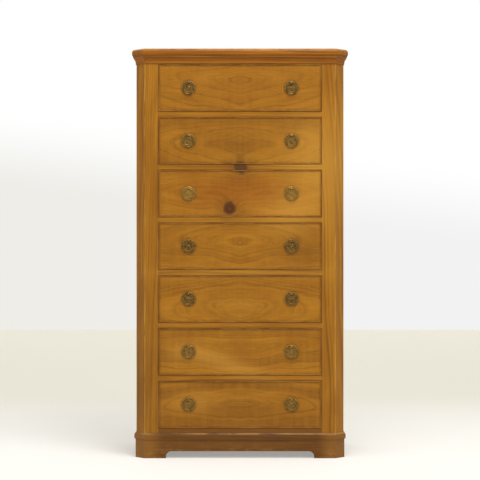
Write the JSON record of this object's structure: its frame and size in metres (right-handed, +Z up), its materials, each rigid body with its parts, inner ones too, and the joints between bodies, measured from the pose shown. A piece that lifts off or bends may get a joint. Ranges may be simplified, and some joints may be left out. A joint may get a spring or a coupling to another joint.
{
  "type": "semainier chest of drawers",
  "caption": "Tall narrow chest with equal full-width drawers, canted front corners, moulded top and plinth with arched feet; each drawer slides and has hanging ring pulls.",
  "frame": {"origin": "on the floor under the middle of the chest's bounding box", "axes": "+Z up, -Y towards the front with the drawers, +X to the right of someone facing the drawers"},
  "size_m": [0.742, 0.395, 1.4],
  "materials": {
    "veneered_wood": "french polish",
    "drawer_veneer": "french polish",
    "moulding_wood": "french polish",
    "plinth_wood": "french polish",
    "plain_wood": "bare, aged",
    "brass": "dulled, dark in the hollows"
  },
  "bodies": {
    "carcass": {"left_side_panel": "veneered_wood", "right_side_panel": "veneered_wood", "front_left_post": "veneered_wood", "front_right_post": "veneered_wood", "front_rails": "veneered_wood", "top_board": "veneered_wood", "cornice_moulding": "moulding_wood", "base_moulding": "moulding_wood", "plinth_front": "plinth_wood", "plinth_sides": "plinth_wood", "plinth_back": "plain_wood", "rear_posts": "plain_wood", "back_boards": "plain_wood", "bottom_board": "plain_wood", "drawer_runners": "plain_wood", "drawer_guides": "plain_wood", "drawer_stops": "plain_wood", "glue_blocks": "plain_wood"},
    "drawer_1": {"drawer_1_front": "drawer_veneer", "drawer_1_sides_and_back": "plain_wood", "drawer_1_bottom": "plain_wood", "drawer_1_pull_plates": "brass"},
    "drawer_1_left_ring": {"drawer_1_left_ring": "brass"},
    "drawer_1_right_ring": {"drawer_1_right_ring": "brass"},
    "drawer_2": {"drawer_2_front": "drawer_veneer", "drawer_2_sides_and_back": "plain_wood", "drawer_2_bottom": "plain_wood", "drawer_2_pull_plates": "brass"},
    "drawer_2_left_ring": {"drawer_2_left_ring": "brass"},
    "drawer_2_right_ring": {"drawer_2_right_ring": "brass"},
    "drawer_3": {"drawer_3_front": "drawer_veneer", "drawer_3_sides_and_back": "plain_wood", "drawer_3_bottom": "plain_wood", "drawer_3_pull_plates": "brass"},
    "drawer_3_left_ring": {"drawer_3_left_ring": "brass"},
    "drawer_3_right_ring": {"drawer_3_right_ring": "brass"},
    "drawer_4": {"drawer_4_front": "drawer_veneer", "drawer_4_sides_and_back": "plain_wood", "drawer_4_bottom": "plain_wood", "drawer_4_pull_plates": "brass"},
    "drawer_4_left_ring": {"drawer_4_left_ring": "brass"},
    "drawer_4_right_ring": {"drawer_4_right_ring": "brass"},
    "drawer_5": {"drawer_5_front": "drawer_veneer", "drawer_5_sides_and_back": "plain_wood", "drawer_5_bottom": "plain_wood", "drawer_5_pull_plates": "brass"},
    "drawer_5_left_ring": {"drawer_5_left_ring": "brass"},
    "drawer_5_right_ring": {"drawer_5_right_ring": "brass"},
    "drawer_6": {"drawer_6_front": "drawer_veneer", "drawer_6_sides_and_back": "plain_wood", "drawer_6_bottom": "plain_wood", "drawer_6_pull_plates": "brass"},
    "drawer_6_left_ring": {"drawer_6_left_ring": "brass"},
    "drawer_6_right_ring": {"drawer_6_right_ring": "brass"},
    "drawer_7": {"drawer_7_front": "drawer_veneer", "drawer_7_sides_and_back": "plain_wood", "drawer_7_bottom": "plain_wood", "drawer_7_pull_plates": "brass"},
    "drawer_7_left_ring": {"drawer_7_left_ring": "brass"},
    "drawer_7_right_ring": {"drawer_7_right_ring": "brass"}
  },
  "joints": [
    {"name": "drawer_1_slide", "type": "slide", "parent": "carcass", "child": "drawer_1", "axis": [0, -1, 0], "range_m": [0, 0.28]},
    {"name": "drawer_1_left_ring_swing", "type": "hinge", "parent": "drawer_1", "child": "drawer_1_left_ring", "pos_m": [-0.176, -0.1895, 1.28275], "axis": [-1, 0, 0], "range_deg": [-5, 188]},
    {"name": "drawer_1_right_ring_swing", "type": "hinge", "parent": "drawer_1", "child": "drawer_1_right_ring", "pos_m": [0.176, -0.1895, 1.28275], "axis": [-1, 0, 0], "range_deg": [-5, 188]},
    {"name": "drawer_2_slide", "type": "slide", "parent": "carcass", "child": "drawer_2", "axis": [0, -1, 0], "range_m": [0, 0.28]},
    {"name": "drawer_2_left_ring_swing", "type": "hinge", "parent": "drawer_2", "child": "drawer_2_left_ring", "pos_m": [-0.176, -0.1895, 1.10225], "axis": [-1, 0, 0], "range_deg": [-5, 188]},
    {"name": "drawer_2_right_ring_swing", "type": "hinge", "parent": "drawer_2", "child": "drawer_2_right_ring", "pos_m": [0.176, -0.1895, 1.10225], "axis": [-1, 0, 0], "range_deg": [-5, 188]},
    {"name": "drawer_3_slide", "type": "slide", "parent": "carcass", "child": "drawer_3", "axis": [0, -1, 0], "range_m": [0, 0.28]},
    {"name": "drawer_3_left_ring_swing", "type": "hinge", "parent": "drawer_3", "child": "drawer_3_left_ring", "pos_m": [-0.176, -0.1895, 0.92175], "axis": [-1, 0, 0], "range_deg": [-5, 188]},
    {"name": "drawer_3_right_ring_swing", "type": "hinge", "parent": "drawer_3", "child": "drawer_3_right_ring", "pos_m": [0.176, -0.1895, 0.92175], "axis": [-1, 0, 0], "range_deg": [-5, 188]},
    {"name": "drawer_4_slide", "type": "slide", "parent": "carcass", "child": "drawer_4", "axis": [0, -1, 0], "range_m": [0, 0.28]},
    {"name": "drawer_4_left_ring_swing", "type": "hinge", "parent": "drawer_4", "child": "drawer_4_left_ring", "pos_m": [-0.176, -0.1895, 0.74125], "axis": [-1, 0, 0], "range_deg": [-5, 188]},
    {"name": "drawer_4_right_ring_swing", "type": "hinge", "parent": "drawer_4", "child": "drawer_4_right_ring", "pos_m": [0.176, -0.1895, 0.74125], "axis": [-1, 0, 0], "range_deg": [-5, 188]},
    {"name": "drawer_5_slide", "type": "slide", "parent": "carcass", "child": "drawer_5", "axis": [0, -1, 0], "range_m": [0, 0.28]},
    {"name": "drawer_5_left_ring_swing", "type": "hinge", "parent": "drawer_5", "child": "drawer_5_left_ring", "pos_m": [-0.176, -0.1895, 0.56075], "axis": [-1, 0, 0], "range_deg": [-5, 188]},
    {"name": "drawer_5_right_ring_swing", "type": "hinge", "parent": "drawer_5", "child": "drawer_5_right_ring", "pos_m": [0.176, -0.1895, 0.56075], "axis": [-1, 0, 0], "range_deg": [-5, 188]},
    {"name": "drawer_6_slide", "type": "slide", "parent": "carcass", "child": "drawer_6", "axis": [0, -1, 0], "range_m": [0, 0.28]},
    {"name": "drawer_6_left_ring_swing", "type": "hinge", "parent": "drawer_6", "child": "drawer_6_left_ring", "pos_m": [-0.176, -0.1895, 0.38025], "axis": [-1, 0, 0], "range_deg": [-5, 188]},
    {"name": "drawer_6_right_ring_swing", "type": "hinge", "parent": "drawer_6", "child": "drawer_6_right_ring", "pos_m": [0.176, -0.1895, 0.38025], "axis": [-1, 0, 0], "range_deg": [-5, 188]},
    {"name": "drawer_7_slide", "type": "slide", "parent": "carcass", "child": "drawer_7", "axis": [0, -1, 0], "range_m": [0, 0.28]},
    {"name": "drawer_7_left_ring_swing", "type": "hinge", "parent": "drawer_7", "child": "drawer_7_left_ring", "pos_m": [-0.176, -0.1895, 0.19975], "axis": [-1, 0, 0], "range_deg": [-5, 188]},
    {"name": "drawer_7_right_ring_swing", "type": "hinge", "parent": "drawer_7", "child": "drawer_7_right_ring", "pos_m": [0.176, -0.1895, 0.19975], "axis": [-1, 0, 0], "range_deg": [-5, 188]}
  ]
}
